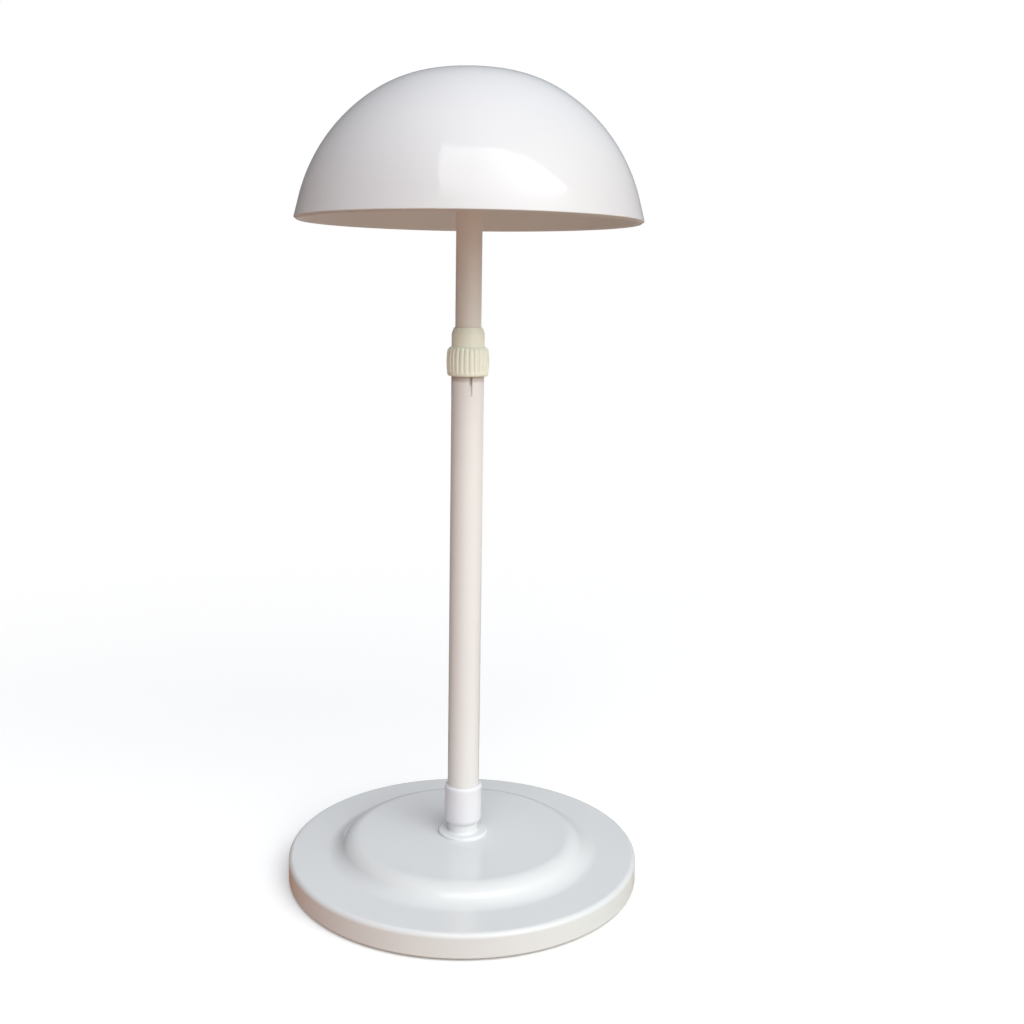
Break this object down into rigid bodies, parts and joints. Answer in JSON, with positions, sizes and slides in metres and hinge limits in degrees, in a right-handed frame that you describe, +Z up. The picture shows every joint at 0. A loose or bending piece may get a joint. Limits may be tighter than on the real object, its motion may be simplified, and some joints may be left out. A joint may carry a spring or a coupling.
{
  "type": "wig stand",
  "caption": "Free-standing wig stand: open round dome on a telescoping pole with a ribbed twist-lock nut, on a wide weighted round base with a raised middle.",
  "frame": {"origin": "centre of the base on the surface that the stand rests on", "axes": "+Z up along the pole; -Y is the front, where one slit of the collet shows"},
  "size_m": [0.16, 0.16, 0.36],
  "materials": {
    "dome_white": "gloss moulded",
    "tube_white": "satin extruded",
    "nut_cream": "satin moulded",
    "coupling_white": "satin moulded",
    "base_white": "gloss moulded",
    "cover_white": "fine textured",
    "natural_nylon": "natural",
    "plated_steel": "zinc plated",
    "ballast_iron": "raw",
    "pad_rubber": "soft matt"
  },
  "bodies": {
    "stand": {"base_shell": "base_white", "ballast_ring": "ballast_iron", "bottom_cover": "cover_white", "cover_screws": "plated_steel", "foot_pads": "pad_rubber", "stem": "base_white", "stem_washer": "plated_steel", "stem_nut": "plated_steel", "pole_coupling": "coupling_white", "lower_tube": "tube_white"},
    "tail": {"tail_bush": "natural_nylon"},
    "mast": {"upper_tube": "tube_white", "dome": "dome_white"},
    "grip": {"grip_ring": "natural_nylon"},
    "nut": {"lock_nut": "nut_cream"}
  },
  "joints": [
    {"name": "mast_slide", "type": "slide", "parent": "stand", "child": "tail", "axis": [0, 0, 1], "range_m": [-0.1042, 0.12]},
    {"name": "mast_swivel", "type": "hinge", "parent": "tail", "child": "mast", "pos_m": [0, 0, 0.1162], "axis": [0, 0, 1], "continuous": true},
    {"name": "nut_rise", "type": "slide", "parent": "stand", "child": "grip", "axis": [0, 0, 1], "range_m": [0, 0.00075]},
    {"name": "nut_twist", "type": "hinge", "parent": "grip", "child": "nut", "pos_m": [0, 0, 0.2368], "axis": [0, 0, 1], "range_deg": [0, 180]}
  ],
  "couplings": [
    {"joint": "nut_twist", "follows": "nut_rise", "rad_per_m": 4188.8}
  ]
}
